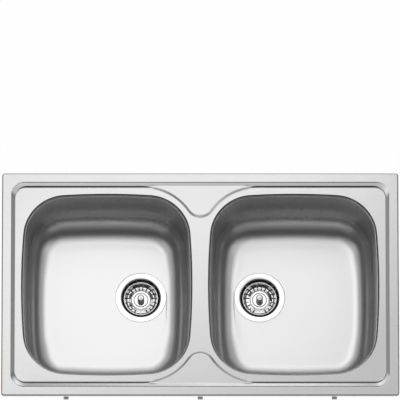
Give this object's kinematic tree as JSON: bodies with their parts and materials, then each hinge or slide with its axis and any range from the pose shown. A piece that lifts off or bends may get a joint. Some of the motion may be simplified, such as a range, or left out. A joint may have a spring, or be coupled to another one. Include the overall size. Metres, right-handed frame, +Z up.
{
  "type": "double bowl kitchen sink",
  "caption": "Inset stainless steel kitchen sink with side-by-side bowls, raised middle ledges, lift-out strainer baskets and swinging screw clips that grip the worktop.",
  "frame": {"origin": "centre of the worktop cut-out, in the plane of the worktop's top face, where the seal under the border rests", "axes": "+X to the user's right along the sink's length, +Y to the back, +Z up"},
  "size_m": [0.86, 0.5, 0.2814],
  "materials": {
    "brushed_steel": "satin stainless steel sheet",
    "polished_steel": "polished stainless steel",
    "zinc_steel": "zinc-plated steel",
    "brass": "turned brass",
    "black_rubber": "matt black rubber",
    "foam": "closed-cell grey foam",
    "damping_pad": "matt bitumen-rubber sheet",
    "white_plastic": "moulded white polypropylene"
  },
  "bodies": {
    "sink": {"deck_panel": "brushed_steel", "rim_seal": "foam", "left_bowl": "brushed_steel", "left_sound_pad": "damping_pad", "left_strainer_cup": "polished_steel", "left_flange_seal": "black_rubber", "left_under_seal": "black_rubber", "left_waste_body": "white_plastic", "left_outlet_pipe": "white_plastic", "left_thread_insert": "brass", "left_clamp_screw": "polished_steel", "left_coupling_nut": "white_plastic", "left_outlet_washer": "black_rubber", "right_bowl": "brushed_steel", "right_sound_pad": "damping_pad", "right_strainer_cup": "polished_steel", "right_flange_seal": "black_rubber", "right_under_seal": "black_rubber", "right_waste_body": "white_plastic", "right_outlet_pipe": "white_plastic", "right_thread_insert": "brass", "right_clamp_screw": "polished_steel", "right_coupling_nut": "white_plastic", "right_outlet_washer": "black_rubber", "clip_1_bracket": "zinc_steel", "clip_2_bracket": "zinc_steel", "clip_3_bracket": "zinc_steel", "clip_4_bracket": "zinc_steel", "clip_5_bracket": "zinc_steel", "clip_6_bracket": "zinc_steel", "clip_7_bracket": "zinc_steel", "clip_8_bracket": "zinc_steel"},
    "left_spring_ring": {"left_stem_spring_ring": "zinc_steel"},
    "left_strainer_basket": {"left_basket": "polished_steel", "left_basket_seal": "black_rubber", "left_basket_stem": "polished_steel", "left_basket_knob": "polished_steel"},
    "right_spring_ring": {"right_stem_spring_ring": "zinc_steel"},
    "right_strainer_basket": {"right_basket": "polished_steel", "right_basket_seal": "black_rubber", "right_basket_stem": "polished_steel", "right_basket_knob": "polished_steel"},
    "clip_1_screw": {"clip_1_screw": "zinc_steel"},
    "clip_1_arm": {"clip_1_arm": "zinc_steel"},
    "clip_2_screw": {"clip_2_screw": "zinc_steel"},
    "clip_2_arm": {"clip_2_arm": "zinc_steel"},
    "clip_3_screw": {"clip_3_screw": "zinc_steel"},
    "clip_3_arm": {"clip_3_arm": "zinc_steel"},
    "clip_4_screw": {"clip_4_screw": "zinc_steel"},
    "clip_4_arm": {"clip_4_arm": "zinc_steel"},
    "clip_5_screw": {"clip_5_screw": "zinc_steel"},
    "clip_5_arm": {"clip_5_arm": "zinc_steel"},
    "clip_6_screw": {"clip_6_screw": "zinc_steel"},
    "clip_6_arm": {"clip_6_arm": "zinc_steel"},
    "clip_7_screw": {"clip_7_screw": "zinc_steel"},
    "clip_7_arm": {"clip_7_arm": "zinc_steel"},
    "clip_8_screw": {"clip_8_screw": "zinc_steel"},
    "clip_8_arm": {"clip_8_arm": "zinc_steel"}
  },
  "joints": [
    {"name": "left_basket_lift", "type": "slide", "parent": "sink", "child": "left_spring_ring", "axis": [0, 0, 1], "range_m": [0, 0.08]},
    {"name": "left_basket_turn", "type": "hinge", "parent": "left_spring_ring", "child": "left_strainer_basket", "pos_m": [-0.1293, 0.02, -0.1765], "axis": [0, 0, 1], "continuous": true},
    {"name": "right_basket_lift", "type": "slide", "parent": "sink", "child": "right_spring_ring", "axis": [0, 0, 1], "range_m": [0, 0.08]},
    {"name": "right_basket_turn", "type": "hinge", "parent": "right_spring_ring", "child": "right_strainer_basket", "pos_m": [0.1293, 0.02, -0.1765], "axis": [0, 0, 1], "continuous": true},
    {"name": "clip_1_raise", "type": "slide", "parent": "sink", "child": "clip_1_screw", "axis": [0, 0, 1], "range_m": [-0.008, 0.01]},
    {"name": "clip_1_swing", "type": "hinge", "parent": "clip_1_screw", "child": "clip_1_arm", "pos_m": [-0.29, 0.2115, -0.0445], "axis": [0, 0, 1], "range_deg": [-90, 90]},
    {"name": "clip_2_raise", "type": "slide", "parent": "sink", "child": "clip_2_screw", "axis": [0, 0, 1], "range_m": [-0.008, 0.01]},
    {"name": "clip_2_swing", "type": "hinge", "parent": "clip_2_screw", "child": "clip_2_arm", "pos_m": [0, 0.2115, -0.0445], "axis": [0, 0, 1], "range_deg": [-90, 90]},
    {"name": "clip_3_raise", "type": "slide", "parent": "sink", "child": "clip_3_screw", "axis": [0, 0, 1], "range_m": [-0.008, 0.01]},
    {"name": "clip_3_swing", "type": "hinge", "parent": "clip_3_screw", "child": "clip_3_arm", "pos_m": [0.29, 0.2115, -0.0445], "axis": [0, 0, 1], "range_deg": [-90, 90]},
    {"name": "clip_4_raise", "type": "slide", "parent": "sink", "child": "clip_4_screw", "axis": [0, 0, 1], "range_m": [-0.008, 0.01]},
    {"name": "clip_4_swing", "type": "hinge", "parent": "clip_4_screw", "child": "clip_4_arm", "pos_m": [0.3936, 0, -0.0445], "axis": [0, 0, 1], "range_deg": [-90, 90]},
    {"name": "clip_5_raise", "type": "slide", "parent": "sink", "child": "clip_5_screw", "axis": [0, 0, 1], "range_m": [-0.008, 0.01]},
    {"name": "clip_5_swing", "type": "hinge", "parent": "clip_5_screw", "child": "clip_5_arm", "pos_m": [0.29, -0.2115, -0.0445], "axis": [0, 0, 1], "range_deg": [-90, 90]},
    {"name": "clip_6_raise", "type": "slide", "parent": "sink", "child": "clip_6_screw", "axis": [0, 0, 1], "range_m": [-0.008, 0.01]},
    {"name": "clip_6_swing", "type": "hinge", "parent": "clip_6_screw", "child": "clip_6_arm", "pos_m": [0, -0.2115, -0.0445], "axis": [0, 0, 1], "range_deg": [-90, 90]},
    {"name": "clip_7_raise", "type": "slide", "parent": "sink", "child": "clip_7_screw", "axis": [0, 0, 1], "range_m": [-0.008, 0.01]},
    {"name": "clip_7_swing", "type": "hinge", "parent": "clip_7_screw", "child": "clip_7_arm", "pos_m": [-0.29, -0.2115, -0.0445], "axis": [0, 0, 1], "range_deg": [-90, 90]},
    {"name": "clip_8_raise", "type": "slide", "parent": "sink", "child": "clip_8_screw", "axis": [0, 0, 1], "range_m": [-0.008, 0.01]},
    {"name": "clip_8_swing", "type": "hinge", "parent": "clip_8_screw", "child": "clip_8_arm", "pos_m": [-0.3936, 0, -0.0445], "axis": [0, 0, 1], "range_deg": [-90, 90]}
  ]
}
